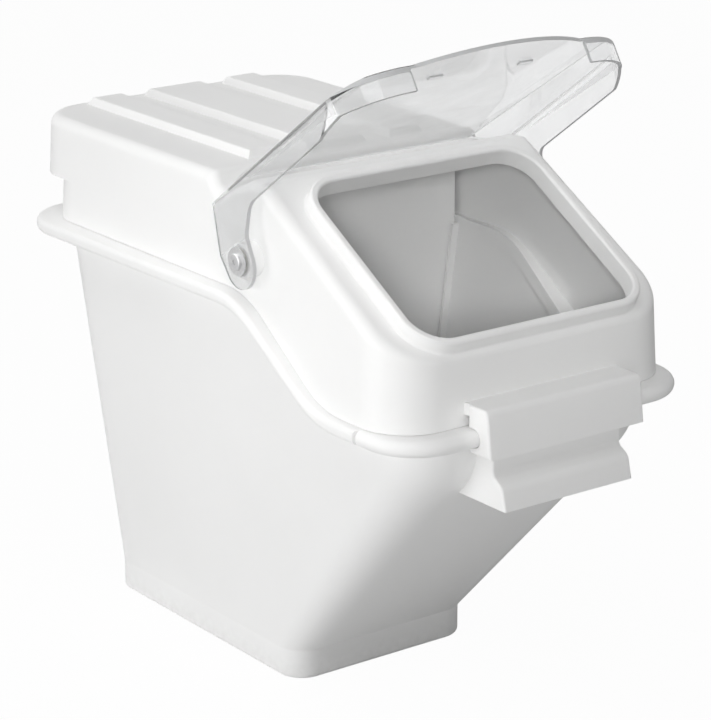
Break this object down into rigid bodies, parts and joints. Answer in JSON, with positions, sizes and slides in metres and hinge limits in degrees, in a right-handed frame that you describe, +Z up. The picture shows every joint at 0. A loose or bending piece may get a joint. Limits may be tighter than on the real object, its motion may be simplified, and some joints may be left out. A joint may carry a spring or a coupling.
{
  "type": "ingredient bin",
  "caption": "Tapered shelf ingredient bin with a sloping front, a ribbed hood that tips up on a front bead, an inside divider and a clear pivoting visor over the scoop opening.",
  "frame": {"origin": "middle of the base, on the floor", "axes": "+Z up, front faces -Y, +X to the right seen from the front"},
  "size_m": [0.2994, 0.5351, 0.5324],
  "materials": {
    "white_plastic": "satin moulded",
    "clear_plastic": "clear",
    "stainless": "turned",
    "brass": "turned",
    "nylon": "punched sheet"
  },
  "bodies": {
    "tub_body": {"tub": "white_plastic", "divider": "white_plastic"},
    "hood_body": {"hood": "white_plastic", "pivot_insert_left": "brass", "pivot_insert_right": "brass", "friction_ring_left": "nylon", "friction_ring_right": "nylon", "pivot_washer_left": "stainless", "pivot_washer_right": "stainless", "pivot_screw_left": "stainless", "pivot_screw_right": "stainless"},
    "visor_body": {"visor": "clear_plastic"}
  },
  "joints": [
    {"name": "hood_tilt", "type": "hinge", "parent": "tub_body", "child": "hood_body", "pos_m": [0, -0.331, 0.26], "axis": [1, 0, 0], "range_deg": [0, 22]},
    {"name": "visor_hinge", "type": "hinge", "parent": "hood_body", "child": "visor_body", "pos_m": [0, -0.142, 0.361], "axis": [1, 0, 0], "range_deg": [-5, 63]}
  ]
}
